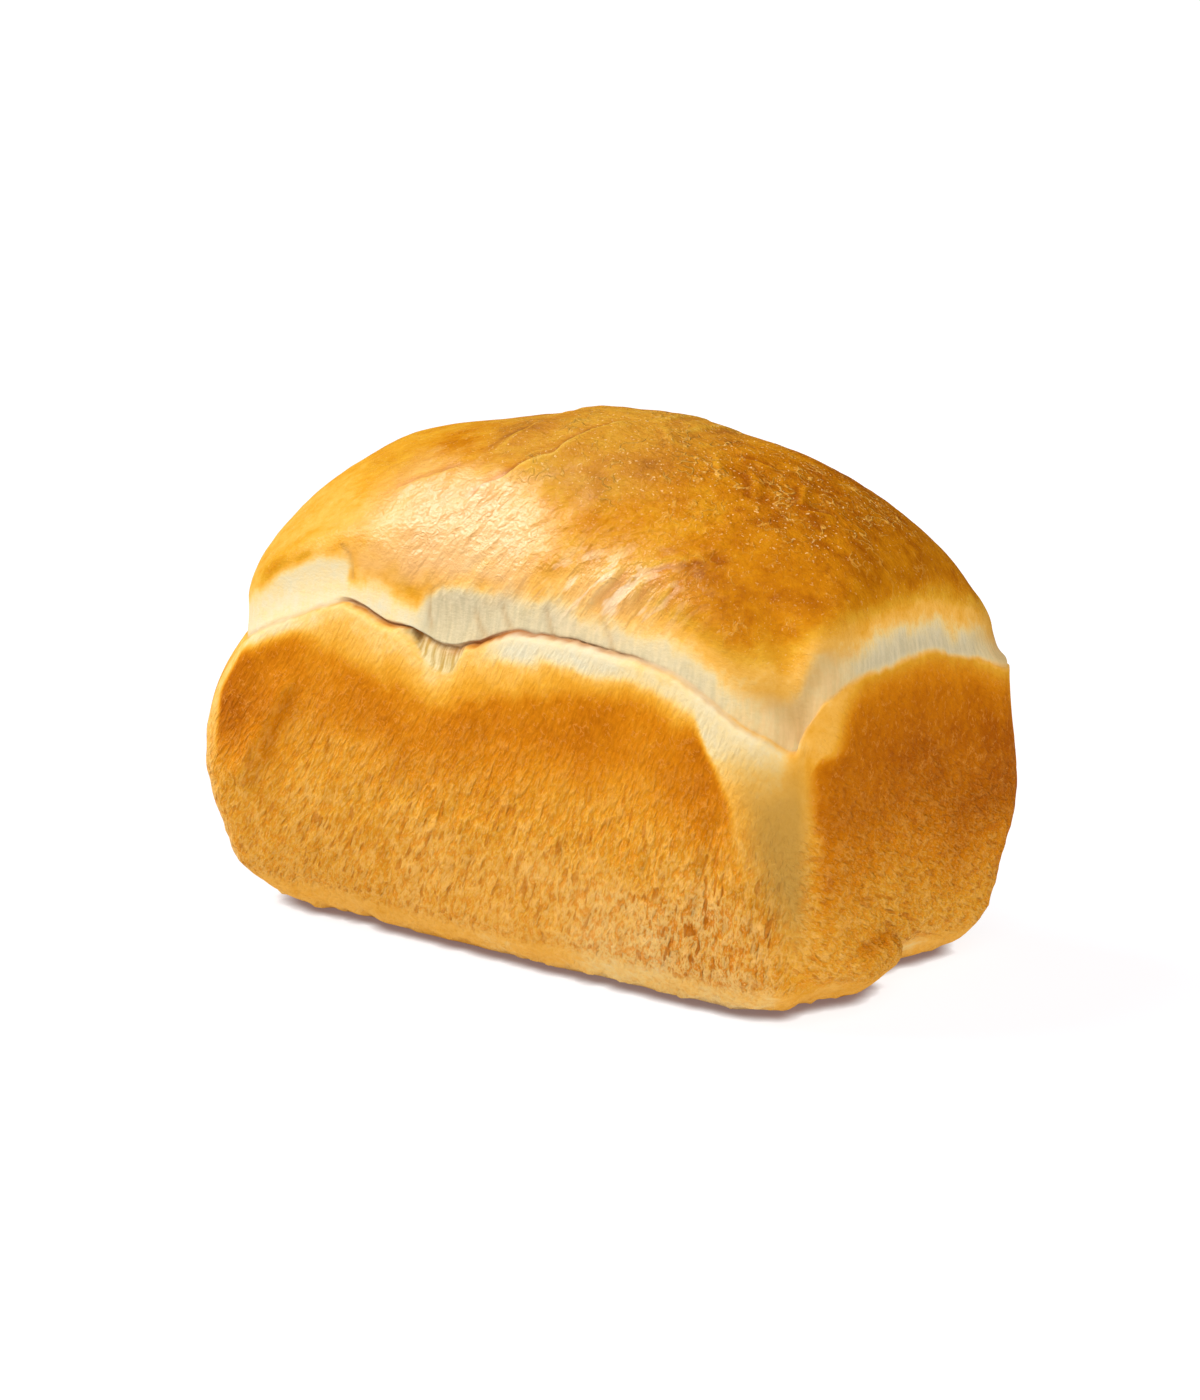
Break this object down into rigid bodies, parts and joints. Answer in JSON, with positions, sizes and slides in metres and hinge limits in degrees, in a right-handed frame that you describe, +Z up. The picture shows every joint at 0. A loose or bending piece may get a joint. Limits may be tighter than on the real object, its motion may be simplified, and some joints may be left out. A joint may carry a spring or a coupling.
{
  "type": "tin loaf",
  "caption": "Uncut tin-baked bread loaf: oblong walls shaped by the tin, a torn seam above its rim and a domed, browned crown. Rests on its flat base.",
  "frame": {"origin": "centre of the bounding box, on the plane the base rests on", "axes": "+X along the loaf, towards the end whose crown is flush with the wall; +Y across it, from the front long side to the back; +Z up"},
  "size_m": [0.233, 0.129, 0.1606],
  "materials": {
    "crust": null
  },
  "bodies": {
    "root": {"loaf": "crust"}
  },
  "joints": []
}
